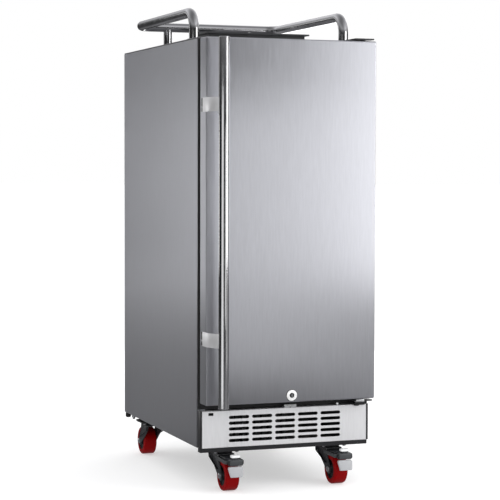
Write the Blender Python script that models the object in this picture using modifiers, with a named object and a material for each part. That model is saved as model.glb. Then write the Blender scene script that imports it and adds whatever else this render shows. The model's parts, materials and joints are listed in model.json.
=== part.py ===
"""Keg cooler: a stainless undercounter cabinet on casters that chills soda kegs.

World frame: +Z up, +X to the right seen from the front, -Y is the front.
The origin is on the floor, under the middle of the object's bounding box.
Every size below is in metres. Part sizes are given in cabinet coordinates:
x from the middle, y back from the cabinet's front edge, z up from the bottom
edge of the side panels. world() turns them into world coordinates.
"""
import math

import bmesh
import bpy
from mathutils import Matrix, Vector

# Driving dimensions
CABINET_WIDTH = 0.3785
CABINET_HEIGHT = 0.854
CABINET_DEPTH = 0.5557
SHEET = 0.001
GAP = 0.0003
CASTER_HEIGHT = 0.084
BASE_DEPTH = 0.008

DOOR_FACE = -0.0554
DOOR_BACK = -0.0158
DOOR_BOTTOM = 0.0951
DOOR_TOP = 0.851
HINGE_X = 0.170
HINGE_Y = -0.030
PIN_RADIUS = 0.004

HANDLE_RADIUS = 0.011
HANDLE_X = -0.1645
HANDLE_STANDOFF = 0.040
HANDLE_Y = DOOR_FACE - HANDLE_STANDOFF
STRAP_HEIGHT = 0.0295
STRAP_THICKNESS = 0.0016
STRAP_Z = {"lower": 0.2324, "upper": 0.7128}

KICK_FACE = -0.0185
KICK_BOTTOM = 0.001
KICK_TOP = 0.0782
KICK_HALF_WIDTH = 0.187
SLOT_LENGTH = 0.0456
SLOT_HEIGHT = 0.0068
SLOT_PITCH_X = 0.0517
SLOT_PITCH_Z = 0.01215
SLOT_MIDDLE_Z = 0.0392

RAIL_RADIUS = 0.0105
RAIL_X = 0.171
RAIL_FRONT = 0.080
RAIL_BACK = 0.497
RAIL_Z = 0.9135
RAIL_BEND = 0.036
RAIL_POST_X = 0.0995

LINER = 0.002
LINER_HALF_WIDTH = 0.152
LINER_FRONT = 0.0066
LINER_BACK = 0.505
LINER_BOTTOM = 0.135
LINER_TOP = 0.817
LINER_STEP_Y = 0.345
LINER_STEP_Z = 0.298

TOWER_Y = 0.425
TOWER_RADIUS = 0.036
LOCK_Z = 0.1095
WHEEL_RADIUS = 0.03175
WHEEL_HALF_WIDTH = 0.015
AXLE_Z = WHEEL_RADIUS - BASE_DEPTH - CASTER_HEIGHT
CASTER_TRAIL = 0.035

SHELL_Z = CASTER_HEIGHT + BASE_DEPTH
FRONT_Y = -(CABINET_DEPTH + HANDLE_Y - HANDLE_RADIUS) / 2
HALF_WIDTH = CABINET_WIDTH / 2

AXIS_TURN = {
    "x": Matrix.Rotation(math.pi / 2, 4, "Y"),
    "y": Matrix.Rotation(-math.pi / 2, 4, "X"),
    "z": Matrix.Identity(4),
}


def world(x, y, z):
    """Cabinet coordinates to world coordinates."""
    return Vector((x, y + FRONT_Y, z + SHELL_Z))


def empty_scene():
    for item in list(bpy.data.objects):
        bpy.data.objects.remove(item, do_unlink=True)


def add_collection(name):
    collection = bpy.data.collections.new(name)
    bpy.context.scene.collection.children.link(collection)
    return collection


empty_scene()
PARTS = add_collection("keg_cooler")
CUTTERS = add_collection("cutters")


def add_material(name, colour, roughness, metallic):
    material = bpy.data.materials.new(name)
    material.use_nodes = True
    shader = material.node_tree.nodes["Principled BSDF"]
    shader.inputs["Base Color"].default_value = (*colour, 1.0)
    shader.inputs["Roughness"].default_value = roughness
    shader.inputs["Metallic"].default_value = metallic
    return material


STAINLESS = add_material("brushed_stainless", (0.55, 0.55, 0.56), 0.34, 1.0)
POLISHED = add_material("polished_stainless", (0.70, 0.70, 0.71), 0.12, 1.0)
CHROME = add_material("chrome", (0.80, 0.80, 0.80), 0.06, 1.0)
ZINC = add_material("zinc_plated_steel", (0.62, 0.63, 0.64), 0.35, 1.0)
BLACK_STEEL = add_material("black_painted_steel", (0.02, 0.02, 0.022), 0.45, 0.0)
BLACK_PLASTIC = add_material("black_plastic", (0.015, 0.015, 0.016), 0.5, 0.0)
WHITE_PLASTIC = add_material("white_plastic", (0.82, 0.82, 0.80), 0.35, 0.0)
FOAM = add_material("foam", (0.75, 0.66, 0.42), 0.9, 0.0)
SEAL = add_material("seal_rubber", (0.02, 0.02, 0.02), 0.7, 0.0)
TREAD = add_material("red_tread", (0.30, 0.005, 0.008), 0.35, 0.0)
COPPER = add_material("copper", (0.72, 0.38, 0.24), 0.3, 1.0)


def add_object(name, mesh, material, cutter=False):
    """Wrap a mesh in an object, in the parts or among the hidden cutters."""
    thing = bpy.data.objects.new(name, mesh)
    if cutter:
        CUTTERS.objects.link(thing)
        thing.hide_render = True
        thing.display_type = "WIRE"
    else:
        PARTS.objects.link(thing)
        mesh.materials.append(material)
    return thing


def finish_mesh(name, work, smooth=False):
    bmesh.ops.recalc_face_normals(work, faces=work.faces)
    mesh = bpy.data.meshes.new(name)
    work.to_mesh(mesh)
    work.free()
    if smooth:
        mesh.shade_smooth()
        mesh.set_sharp_from_angle(angle=math.radians(35))
    return mesh


def box(name, x, y, z, material=None, bevel=0.0, segments=2):
    """A block between the (low, high) pairs x, y and z. No material: a cutter."""
    work = bmesh.new()
    bmesh.ops.create_cube(work, size=1.0)
    size = Vector((x[1] - x[0], y[1] - y[0], z[1] - z[0]))
    bmesh.ops.scale(work, vec=size, verts=work.verts)
    block = add_object(name, finish_mesh(name, work), material, material is None)
    block.location = world(sum(x) / 2, sum(y) / 2, sum(z) / 2)
    if bevel:
        rounding = block.modifiers.new("round_edges", "BEVEL")
        rounding.width = bevel
        rounding.segments = segments
    return block


def cylinder(name, centre, axis, radius, length, material=None, sides=24):
    """A round bar whose middle is at centre, along axis x, y or z."""
    work = bmesh.new()
    bmesh.ops.create_cone(
        work, cap_ends=True, segments=sides, radius1=radius, radius2=radius,
        depth=length, matrix=AXIS_TURN[axis])
    bar = add_object(name, finish_mesh(name, work, True), material, material is None)
    bar.location = world(*centre)
    return bar


def turned(name, centre, axis, profile, material, steps=24):
    """A turned piece: profile is a closed loop of (radius, height) corners.

    The loop has to run down its outer side, or the skin would face inwards.
    """
    pairs = list(zip(profile, profile[1:] + profile[:1]))
    if sum(r1 * h2 - r2 * h1 for (r1, h1), (r2, h2) in pairs) > 0:
        profile = list(reversed(profile))
    work = bmesh.new()
    corners = [work.verts.new((radius, 0.0, height)) for radius, height in profile]
    for first, second in zip(corners, corners[1:] + corners[:1]):
        work.edges.new((first, second))
    mesh = bpy.data.meshes.new(name)
    work.to_mesh(mesh)
    work.free()
    piece = add_object(name, mesh, material)
    piece.matrix_world = Matrix.Translation(world(*centre)) @ AXIS_TURN[axis]
    screw = piece.modifiers.new("turn", "SCREW")
    screw.steps = steps
    screw.render_steps = steps
    screw.use_merge_vertices = True
    screw.merge_threshold = 0.00001
    return piece


def prism(name, outline, plane, low, high, material=None):
    """An outline in the xz, xy or yz plane, drawn out along the third axis."""
    order = {"xy": (0, 1, 2), "xz": (0, 2, 1), "yz": (1, 2, 0)}[plane]
    work = bmesh.new()
    corners = []
    for first, second in outline:
        place = [0.0, 0.0, 0.0]
        place[order[0]] = first
        place[order[1]] = second
        place[order[2]] = low
        corners.append(work.verts.new(world(*place)))
    face = work.faces.new(corners)
    moved = bmesh.ops.extrude_face_region(work, geom=[face])["geom"]
    step = [0.0, 0.0, 0.0]
    step[order[2]] = high - low
    verts = [item for item in moved if isinstance(item, bmesh.types.BMVert)]
    bmesh.ops.translate(work, vec=step, verts=verts)
    return add_object(name, finish_mesh(name, work), material, material is None)


def arc(centre, radius, start, end, steps):
    """Points on an arc, angles in degrees."""
    points = []
    for index in range(steps + 1):
        angle = math.radians(start + (end - start) * index / steps)
        x = centre[0] + radius * math.cos(angle)
        y = centre[1] + radius * math.sin(angle)
        points.append((x, y))
    return points


def bent_sheet(name, line, plane, low, high, thickness, material=None):
    """Sheet metal: a bent line in one plane, drawn out and given thickness."""
    order = {"xy": (0, 1, 2), "xz": (0, 2, 1)}[plane]
    work = bmesh.new()
    rows = []
    for level in (low, high):
        row = []
        for first, second in line:
            place = [0.0, 0.0, 0.0]
            place[order[0]] = first
            place[order[1]] = second
            place[order[2]] = level
            row.append(work.verts.new(world(*place)))
        rows.append(row)
    for index in range(len(line) - 1):
        near, far = rows
        work.faces.new((near[index], near[index + 1], far[index + 1], far[index]))
    sheet = add_object(name, finish_mesh(name, work), material, material is None)
    solid = sheet.modifiers.new("thickness", "SOLIDIFY")
    solid.thickness = thickness
    solid.offset = 0.0
    solid.use_even_offset = True
    return sheet


def tube(name, points, radius, material, resolution=3):
    """A round tube along points, as a mesh whose caps are welded on."""
    curve = bpy.data.curves.new(name, "CURVE")
    curve.dimensions = "3D"
    curve.bevel_depth = radius
    curve.bevel_resolution = resolution
    curve.use_fill_caps = True
    line = curve.splines.new("POLY")
    line.points.add(len(points) - 1)
    for point, place in zip(line.points, points):
        point.co = (*world(*place), 1.0)
    guide = bpy.data.objects.new(name + "_guide", curve)
    CUTTERS.objects.link(guide)
    graph = bpy.context.evaluated_depsgraph_get()
    mesh = bpy.data.meshes.new_from_object(guide.evaluated_get(graph))
    bpy.data.objects.remove(guide, do_unlink=True)
    work = bmesh.new()
    work.from_mesh(mesh)
    bmesh.ops.remove_doubles(work, verts=work.verts, dist=0.00001)
    bmesh.ops.recalc_face_normals(work, faces=work.faces)
    work.to_mesh(mesh)
    work.free()
    mesh.materials.clear()
    mesh.shade_smooth()
    mesh.set_sharp_from_angle(angle=math.radians(35))
    return add_object(name, mesh, material)


def combine(target, other, operation):
    """Cut other from target, or weld it on. The other object becomes a cutter."""
    change = target.modifiers.new(other.name, "BOOLEAN")
    change.operation = operation
    change.solver = "EXACT"
    change.object = other
    if other.name in PARTS.objects:
        PARTS.objects.unlink(other)
        CUTTERS.objects.link(other)
        other.hide_render = True
        other.display_type = "WIRE"


def cut(target, *cutters):
    for cutter in cutters:
        combine(target, cutter, "DIFFERENCE")


def weld(target, *pieces):
    for piece in pieces:
        combine(target, piece, "UNION")


def pivot(name, x, y, z):
    """An empty on a joint's axis, which carries the pieces of a moving body."""
    marker = bpy.data.objects.new(name, None)
    PARTS.objects.link(marker)
    marker.location = world(x, y, z)
    return marker


def carry(marker, *pieces):
    """Parent pieces to a pivot and keep them where they are."""
    for piece in pieces:
        piece.parent = marker
        piece.matrix_parent_inverse = Matrix.Translation(marker.location).inverted()


# Outer shell

def make_side_panel(name, side):
    middle = HALF_WIDTH - SHEET / 2
    bend = 0.0045
    flange = 0.016
    near = SHEET / 2
    far = CABINET_DEPTH - SHEET / 2
    line = [(side * (middle - flange), far), (side * middle, far)]
    corner = arc((middle - bend, near + bend), bend, 0, -90, 4)
    line += [(side * x, y) for x, y in corner]
    line.append((side * (middle - flange), near))
    bent_sheet(name, line, "xy", 0.0, CABINET_HEIGHT - 0.003, SHEET, STAINLESS)


def tower_bore(name, radius):
    """A cutter for the hole that a beer tower's lines run through."""
    middle = (LINER_TOP + CABINET_HEIGHT) / 2
    return cylinder(name, (0, TOWER_Y, middle), "z", radius, 0.08)


def make_top_panel():
    panel = box("top_panel", (-HALF_WIDTH, HALF_WIDTH), (0.0, CABINET_DEPTH),
                (CABINET_HEIGHT - 0.0026, CABINET_HEIGHT), STAINLESS, 0.0012)
    cut(panel, tower_bore("panel_tower_hole", TOWER_RADIUS + GAP))


def make_tower_hole_plug():
    """A cap on the top panel with a foam-length stem down to the liner."""
    stem = LINER_TOP - CABINET_HEIGHT
    profile = [(0.0, stem), (TOWER_RADIUS, stem), (TOWER_RADIUS, GAP), (0.044, GAP),
               (0.044, 0.0025), (0.041, 0.0045), (0.0, 0.0045)]
    turned("tower_hole_plug", (0, TOWER_Y, CABINET_HEIGHT), "z", profile, BLACK_PLASTIC)


def make_back():
    rear = (CABINET_DEPTH - 0.0027, CABINET_DEPTH - 0.0015)
    width = (-0.1845, 0.1845)
    box("back_panel", width, rear, (0.2155, 0.8505), ZINC)
    cover = box("rear_cover", width, rear, (0.004, 0.215), ZINC)
    for row in range(6):
        low = 0.060 + 0.022 * row
        slot = box("rear_slot_%d" % row, (-0.12, 0.06), (rear[0] - 0.01, rear[1] + 0.01),
                   (low, low + 0.009))
        cut(cover, slot)
    cut(cover, cylinder("gland_hole", (0.125, rear[0], 0.045), "y", 0.0073, 0.02, sides=16))
    profile = [(0.0, -0.010), (0.0070, -0.010), (0.0070, 0.0004), (0.0100, 0.0004),
               (0.0088, 0.0024), (0.0, 0.0024)]
    turned("power_gland", (0.125, rear[1], 0.045), "y",
           [(r, h * 0.6) for r, h in profile], BLACK_PLASTIC, 16)


def l_outline(front, back, bottom, top, step_y, step_z):
    """Side view of a box with a step over the machine space at the back."""
    return [(front, bottom), (step_y, bottom), (step_y, step_z), (back, step_z),
            (back, top), (front, top)]


def make_inner_shells():
    outer = l_outline(LINER_FRONT, LINER_BACK, LINER_BOTTOM, LINER_TOP,
                      LINER_STEP_Y, LINER_STEP_Z)
    inner = l_outline(-0.05, LINER_BACK - LINER, LINER_BOTTOM + LINER, LINER_TOP - LINER,
                      LINER_STEP_Y - LINER, LINER_STEP_Z + LINER)
    half = LINER_HALF_WIDTH
    liner = prism("inner_liner", outer, "yz", -half, half, WHITE_PLASTIC)
    cut(liner, prism("liner_space", inner, "yz", LINER - half, half - LINER))
    cut(liner, tower_bore("liner_tower_hole", TOWER_RADIUS + GAP))
    foam_line = l_outline(LINER_FRONT, CABINET_DEPTH - 0.0032, 0.100, 0.8508, 0.385, 0.258)
    pocket = l_outline(-0.05, LINER_BACK + GAP, LINER_BOTTOM - GAP, LINER_TOP + GAP,
                       LINER_STEP_Y + GAP, LINER_STEP_Z - GAP)
    foam = prism("wall_insulation", foam_line, "yz", -0.1872, 0.1872, FOAM)
    cut(foam, prism("foam_pocket", pocket, "yz", -half - GAP, half + GAP))
    cut(foam, tower_bore("foam_tower_hole", TOWER_RADIUS + GAP))


def make_front_frame():
    frame = box("front_frame", (-0.1725, 0.1725), (0.0012, 0.0062), (0.0795, 0.8505),
                BLACK_PLASTIC)
    opening = box("front_opening", (-0.150, 0.150), (-0.05, 0.05), (0.137, 0.815))
    cut(frame, opening)


def make_base():
    wall = 0.171
    line = [(-wall, 0.030), (-wall, -0.0070), (wall, -0.0070), (wall, 0.030)]
    base = bent_sheet("base_chassis", line, "xz", -0.004, 0.548, 0.002, BLACK_STEEL)
    bar = box("base_front_bar", (-0.1885, 0.1885), (-0.0175, -0.002),
              (-BASE_DEPTH, 0.0003), BLACK_STEEL)
    weld(base, bar)


def make_kick_plate():
    half = KICK_HALF_WIDTH
    plate = box("kick_plate", (-half, half), (KICK_FACE, -0.003), (KICK_BOTTOM, KICK_TOP),
                STAINLESS, 0.0008, 1)
    hollow = box("kick_hollow", (SHEET - half, half - SHEET), (KICK_FACE + SHEET, 0.02),
                 (-0.02, KICK_TOP - SHEET))
    cut(plate, hollow)
    for column in range(-2, 3):
        for row in range(-2, 3):
            x = column * SLOT_PITCH_X
            z = SLOT_MIDDLE_Z + row * SLOT_PITCH_Z
            reach = (SLOT_LENGTH - SLOT_HEIGHT) / 2
            outline = arc((x + reach, z), SLOT_HEIGHT / 2, -90, 90, 4)
            outline += arc((x - reach, z), SLOT_HEIGHT / 2, 90, 270, 4)
            name = "kick_slot_%d_%d" % (column + 2, row + 2)
            cut(plate, prism(name, outline, "xz", -0.03, -0.01))
    cut(plate, box("kick_catch_hole", (-0.171, -0.160), (-0.03, -0.01), (0.0687, 0.0749)))


# Top rail and tray

def rail_route():
    """Front post, side, back, side and front post, as one bent tube."""
    bend = RAIL_BEND
    corner = 0.030
    half = []
    for y, z in arc((RAIL_FRONT + bend, RAIL_Z - bend), bend, 180, 90, 6):
        half.append((-RAIL_X, y, z))
    for x, y in arc((corner - RAIL_X, RAIL_BACK - corner), corner, 180, 90, 5):
        half.append((x, y, RAIL_Z))
    route = [(-RAIL_X, RAIL_FRONT, CABINET_HEIGHT + GAP)] + half
    return route + [(-x, y, z) for x, y, z in reversed(route)]


def make_guard_rail():
    rail = tube("guard_rail", rail_route(), RAIL_RADIUS, POLISHED, 3)
    post_height = RAIL_Z - CABINET_HEIGHT - GAP
    for index, x in enumerate((-RAIL_POST_X, RAIL_POST_X)):
        post = cylinder("rail_post_%d" % index,
                        (x, RAIL_BACK, CABINET_HEIGHT + GAP + post_height / 2), "z",
                        RAIL_RADIUS - 0.0004, post_height, POLISHED, 16)
        weld(rail, post)


def make_drip_tray():
    middle_y = 0.210
    half = 0.120
    depth = 0.058
    floor = CABINET_HEIGHT + 0.0005
    rim = floor + 0.0235
    wall = 0.112
    tray = box("drip_tray", (-wall, wall), (middle_y - depth + 0.008, middle_y + depth - 0.008),
               (floor, rim), STAINLESS)
    lip = box("tray_lip", (-half, half), (middle_y - depth, middle_y + depth),
              (rim - 0.003, rim + 0.0002), STAINLESS)
    weld(tray, lip)
    inside = wall - 0.0012
    hollow = box("tray_hollow", (-inside, inside),
                 (middle_y - depth + 0.0092, middle_y + depth - 0.0092),
                 (floor + 0.0012, rim + 0.02))
    cut(tray, hollow)
    grille = box("tray_grille", (-inside + 0.0006, inside - 0.0006),
                 (middle_y - depth + 0.0098, middle_y + depth - 0.0098),
                 (rim - 0.0045, rim - 0.0025), POLISHED)
    for index in range(4):
        y = middle_y + (index - 1.5) * 0.022
        cut(grille, box("grille_slot_%d" % index, (-0.096, 0.096), (y - 0.005, y + 0.005),
                        (rim - 0.02, rim + 0.02)))
    for index, x in enumerate((-0.100, 0.100)):
        leg = box("grille_leg_%d" % index, (x - 0.004, x + 0.004),
                  (middle_y - 0.038, middle_y + 0.038), (floor + 0.0016, rim - 0.004), POLISHED)
        weld(grille, leg)


# Door

def make_door():
    half = HALF_WIDTH
    skin = box("door_skin", (-half, half), (DOOR_FACE, DOOR_BACK), (DOOR_BOTTOM, DOOR_TOP),
               STAINLESS, 0.0025, 3)
    hollow = box("door_hollow", (SHEET - half, half - SHEET), (DOOR_FACE + SHEET, 0.0),
                 (DOOR_BOTTOM + SHEET, DOOR_TOP - SHEET))
    cut(skin, hollow)
    inner = half - SHEET - GAP
    inside_z = (DOOR_BOTTOM + SHEET + GAP, DOOR_TOP - SHEET - GAP)
    foam = box("door_insulation", (-inner, inner), (DOOR_FACE + SHEET + GAP, DOOR_BACK - 0.0022),
               inside_z, FOAM)
    liner = box("door_liner", (-inner, inner), (DOOR_BACK - 0.0019, DOOR_BACK), inside_z,
                WHITE_PLASTIC)
    for name, z in (("lower", DOOR_BOTTOM), ("upper", DOOR_TOP)):
        place = (HINGE_X, HINGE_Y, z)
        cut(skin, cylinder(name + "_pin_hole", place, "z", PIN_RADIUS + GAP, 0.01, sides=16))
        cut(foam, cylinder(name + "_pin_pocket", place, "z", PIN_RADIUS + 0.002, 0.04, sides=16))
    cut(skin, cylinder("lock_hole", (0, DOOR_FACE, LOCK_Z), "y", 0.0100, 0.01, sides=20))
    cut(foam, cylinder("lock_bore", (0, -0.04, LOCK_Z), "y", 0.0103, 0.06, sides=20))
    cut(liner, cylinder("lock_outlet", (0, -0.016, LOCK_Z), "y", 0.0100, 0.01, sides=20))
    seal = box("door_gasket", (-0.168, 0.168), (DOOR_BACK + GAP, 0.0009), (0.120, 0.832), SEAL)
    cut(seal, box("gasket_opening", (-0.155, 0.155), (-0.05, 0.05), (0.133, 0.819)))
    return [skin, foam, liner, seal]


def make_handle():
    low = DOOR_BOTTOM - 0.0014
    high = DOOR_TOP - 0.0021
    wall = 0.0015
    profile = [(HANDLE_RADIUS - 0.001, high), (HANDLE_RADIUS, high - 0.001), (HANDLE_RADIUS, low),
               (HANDLE_RADIUS - wall, low), (HANDLE_RADIUS - wall, high - wall),
               (0.0, high - wall), (0.0, high)]
    grip = turned("handle_tube", (HANDLE_X, HANDLE_Y, 0.0), "z", profile, POLISHED)
    straps = []
    outside = HALF_WIDTH + 0.00035 + STRAP_THICKNESS / 2
    reach = HANDLE_RADIUS + GAP + STRAP_THICKNESS / 2
    for name, z in STRAP_Z.items():
        line = [(-outside, -0.0377), (-outside, -0.0540)]
        line += [(-outside + 0.0012, -0.0580), (HANDLE_X - reach, HANDLE_Y + 0.004),
                 (HANDLE_X - reach, HANDLE_Y - 0.002)]
        straps.append(bent_sheet("handle_bracket_" + name, line, "xy", z - STRAP_HEIGHT / 2,
                                 z + STRAP_HEIGHT / 2, STRAP_THICKNESS, POLISHED))
    return [grip] + straps


def make_lock():
    """The chrome barrel in the door, and the turning plug with its cam."""
    face = -0.0030
    back = DOOR_BACK - DOOR_FACE
    barrel = [(0.0048, face), (0.0085, face), (0.0115, -0.0012), (0.0115, -GAP),
              (0.0097, -GAP), (0.0097, back), (0.0048, back)]
    housing = turned("lock_housing", (0, DOOR_FACE, LOCK_Z), "y", barrel, CHROME, 20)
    length = 0.0455
    start = DOOR_FACE - 0.0026
    plug = cylinder("lock_plug", (0, start + length / 2, LOCK_Z), "y", 0.0045, length,
                    ZINC, 16)
    keyway = box("keyway", (-0.0008, 0.0008), (start - 0.01, start + 0.006),
                 (LOCK_Z - 0.0028, LOCK_Z + 0.0028))
    cut(plug, keyway)
    cam = box("lock_cam", (-0.0280, 0.005), (start + length - 0.0022, start + length - 0.0001),
              (LOCK_Z - 0.005, LOCK_Z + 0.005), ZINC)
    weld(plug, cam)
    carry(pivot("lock_pivot", 0, DOOR_FACE, LOCK_Z), plug)
    return [housing, plug.parent]


def make_hinges():
    """Brackets on the cabinet, each with the pin that the door turns on."""
    upper = box("upper_hinge_bracket", (0.146, 0.1885), (-0.045, 0.060),
                (CABINET_HEIGHT + GAP, CABINET_HEIGHT + 0.0033), BLACK_STEEL)
    weld(upper, cylinder("upper_hinge_pin", (HINGE_X, HINGE_Y, CABINET_HEIGHT - 0.0095), "z",
                         PIN_RADIUS, 0.022, ZINC, 16))
    lower = box("lower_hinge_bracket", (0.150, 0.1885), (-0.045, -GAP), (0.0880, 0.0912), ZINC)
    weld(lower, cylinder("lower_hinge_pin", (HINGE_X, HINGE_Y, 0.0985), "z",
                         PIN_RADIUS, 0.018, ZINC, 16))
    weld(lower, box("lower_hinge_tab", (0.161, 0.182), (-0.0215, -0.0190), (0.0770, 0.0890),
                    ZINC))
    wing = HALF_WIDTH + 0.00035
    weld(lower, box("lower_hinge_wing", (0.1876, wing + STRAP_THICKNESS), (-0.012, -0.002),
                    (0.0700, 0.0912), ZINC))


def make_lock_strike():
    strike = box("lock_strike", (-0.003, 0.0245), (-0.0205, -0.004),
                 (KICK_TOP + GAP, KICK_TOP + 0.0016), ZINC)
    weld(strike, box("strike_tab", (-0.003, 0.0245), (-0.0205, -0.0190),
                     (KICK_TOP + GAP, 0.0850), ZINC))


# Inside the cooled space

def make_fan(name, centre, radius, thickness, material):
    """A hub and five tilted blades, turning about the y axis."""
    hub_radius = radius * 0.32
    fan = cylinder(name, centre, "y", hub_radius, thickness, material, 16)
    blades = 5
    for index in range(blades):
        blade = box("%s_blade_%d" % (name, index), (-0.010, 0.010), (-0.0008, 0.0008),
                    (0.0, radius - hub_radius * 0.6), material)
        turn = Matrix.Rotation(math.tau * index / blades, 4, "Y")
        lift = Matrix.Translation((0, 0, hub_radius * 0.6 + (radius - hub_radius * 0.6) / 2))
        pitch = Matrix.Rotation(math.radians(24), 4, "Z")
        blade.matrix_world = Matrix.Translation(world(*centre)) @ turn @ lift @ pitch
        weld(fan, blade)
    carry(pivot(name + "_axis", *centre), fan)


def make_evaporator():
    cover = box("evaporator_cover", (-0.120, 0.120), (0.455, LINER_BACK - LINER - GAP),
                (0.520, 0.780), WHITE_PLASTIC, 0.004, 2)
    cut(cover, box("evaporator_space", (-0.1175, 0.1175), (0.4575, 0.60), (0.5225, 0.7775)))
    cut(cover, cylinder("fan_opening", (0, 0.455, 0.670), "y", 0.047, 0.02, sides=28))
    make_fan("evaporator_fan", (0, 0.474, 0.670), 0.042, 0.014, BLACK_PLASTIC)
    coil = box("evaporator_coil", (-0.100, 0.100), (0.4865, 0.4995), (0.530, 0.770), ZINC)
    for index in range(9):
        x = (index - 4) * 0.021
        cut(coil, box("coil_groove_%d" % index, (x - 0.004, x + 0.004), (0.45, 0.4905),
                      (0.50, 0.80)))


def make_thermostat():
    top = LINER_TOP - LINER - GAP
    box("thermostat_housing", (-0.055, 0.055), (0.180, 0.250), (top - 0.032, top),
        WHITE_PLASTIC, 0.003, 2)
    profile = [(0.0, 0.0), (0.0125, 0.0), (0.0115, -0.013), (0.0, -0.013)]
    knob = turned("thermostat_knob", (0, 0.1795, top - 0.016), "y", profile,
                  BLACK_PLASTIC, 20)
    pointer = box("knob_pointer", (-0.0012, 0.0012), (0.1655, 0.1785),
                  (top - 0.016, top - 0.0025), BLACK_PLASTIC)
    weld(knob, pointer)
    carry(pivot("thermostat_knob_axis", 0, 0.1795, top - 0.016), knob)


# Machine space

def make_machine_space():
    deck = -0.0060 + GAP
    profile = [(0.0, 0.0), (0.050, 0.0), (0.056, 0.008), (0.056, 0.112), (0.048, 0.138),
               (0.030, 0.150), (0.0, 0.152)]
    compressor = turned("compressor", (-0.040, 0.468, deck + 0.010), "z",
                        profile, BLACK_STEEL, 24)
    weld(compressor, box("compressor_feet", (-0.115, 0.035), (0.420, 0.516),
                         (deck, deck + 0.012), BLACK_STEEL))
    condenser = box("condenser", (-0.150, 0.030), (0.050, 0.085), (deck, 0.090), BLACK_STEEL)
    for index in range(11):
        x = -0.060 + (index - 5) * 0.0155
        cut(condenser, box("fin_groove_%d" % index, (x - 0.003, x + 0.003), (0.0, 0.078),
                           (deck + 0.005, 0.2)))
    make_fan("condenser_fan", (-0.060, 0.112, 0.043), 0.036, 0.016, BLACK_PLASTIC)
    pipe_z = deck + 0.070
    route = [(0.0165, 0.468, pipe_z), (0.058, 0.468, pipe_z)]
    route += [(0.070, 0.456, pipe_z), (0.070, 0.150, 0.060), (0.066, 0.090, 0.060)]
    route += [(0.054, 0.068, 0.060), (0.0305, 0.068, 0.060)]
    tube("discharge_pipe", route, 0.0032, COPPER, 2)
    for name, side in (("left", -1), ("right", 1)):
        foot = [(0.0, -0.0003), (0.0055, -0.0003), (0.0065, -0.004), (0.0065, -0.0125),
                (0.0, -0.0125)]
        turned("rear_foot_" + name, (side * 0.1828, 0.5465, 0.0), "z", foot, SEAL, 12)


# Casters

def make_caster(label, x, y, direction, braked):
    """A swivel caster. The wheel trails from the swivel by CASTER_TRAIL."""
    deck = -BASE_DEPTH - GAP
    plate = box("caster_plate_" + label, (x - 0.030, x + 0.030), (y - 0.030, y + 0.030),
                (deck - 0.003, deck), BLACK_STEEL)
    weld(plate, cylinder("race_" + label, (x, y, deck - 0.0045), "z", 0.019, 0.007,
                         BLACK_STEEL, 20))
    axle_y = y + direction * CASTER_TRAIL
    crown_top = deck - 0.0085
    leg_inside = 0.0158
    leg_outside = 0.0182
    fork = box("fork_" + label, (x - leg_outside, x + leg_outside), (y - 0.023, y + 0.023),
               (crown_top - 0.003, crown_top), BLACK_STEEL)
    boss = 0.0100
    outline = [(y - direction * 0.030, crown_top), (y + direction * 0.023, crown_top)]
    start, end = (0, -140) if direction > 0 else (180, 320)
    outline += arc((axle_y, AXLE_Z), boss, start, end, 6)
    outline.append((y - direction * 0.026, crown_top - 0.012))
    for index, (low, high) in enumerate(((-leg_outside, -leg_inside), (leg_inside, leg_outside))):
        weld(fork, prism("leg_%s_%d" % (label, index), outline, "yz", x + low, x + high,
                         BLACK_STEEL))
    centre = (x, axle_y, AXLE_Z)
    cut(fork, cylinder("axle_hole_" + label, centre, "x", 0.0033, 0.06, sides=12))
    head = leg_outside + GAP
    bolt = [(0.0, -head - 0.003), (0.0052, -head - 0.003), (0.0058, -head), (0.003, -head),
            (0.003, head), (0.0058, head), (0.0052, head + 0.003), (0.0, head + 0.003)]
    axle = turned("axle_" + label, centre, "x", bolt, ZINC, 12)
    half = WHEEL_HALF_WIDTH
    rim = 0.0215
    tread_line = [(rim, -half), (WHEEL_RADIUS - 0.004, -half), (WHEEL_RADIUS - 0.0012, -half + 0.0014),
                  (WHEEL_RADIUS, -half + 0.0045), (WHEEL_RADIUS, half - 0.0045),
                  (WHEEL_RADIUS - 0.0012, half - 0.0014), (WHEEL_RADIUS - 0.004, half), (rim, half)]
    tread = turned("tread_" + label, centre, "x", tread_line, TREAD, 32)
    hub_rim = rim - GAP
    hub_line = [(0.0034, -0.0148), (0.009, -0.0148), (0.011, -0.010), (0.018, -0.010),
                (0.0195, -0.0135), (hub_rim, -0.0135), (hub_rim, 0.0135), (0.0195, 0.0135),
                (0.018, 0.010), (0.011, 0.010), (0.009, 0.0148), (0.0034, 0.0148)]
    hub = turned("hub_" + label, centre, "x", hub_line, BLACK_PLASTIC, 20)
    wheel_axis = pivot("wheel_axis_" + label, *centre)
    carry(wheel_axis, tread, hub)
    swivel = pivot("swivel_" + label, x, y, crown_top)
    carry(swivel, fork, axle, wheel_axis)
    if braked:
        carry(swivel, make_brake(label, x, y, fork))


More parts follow.
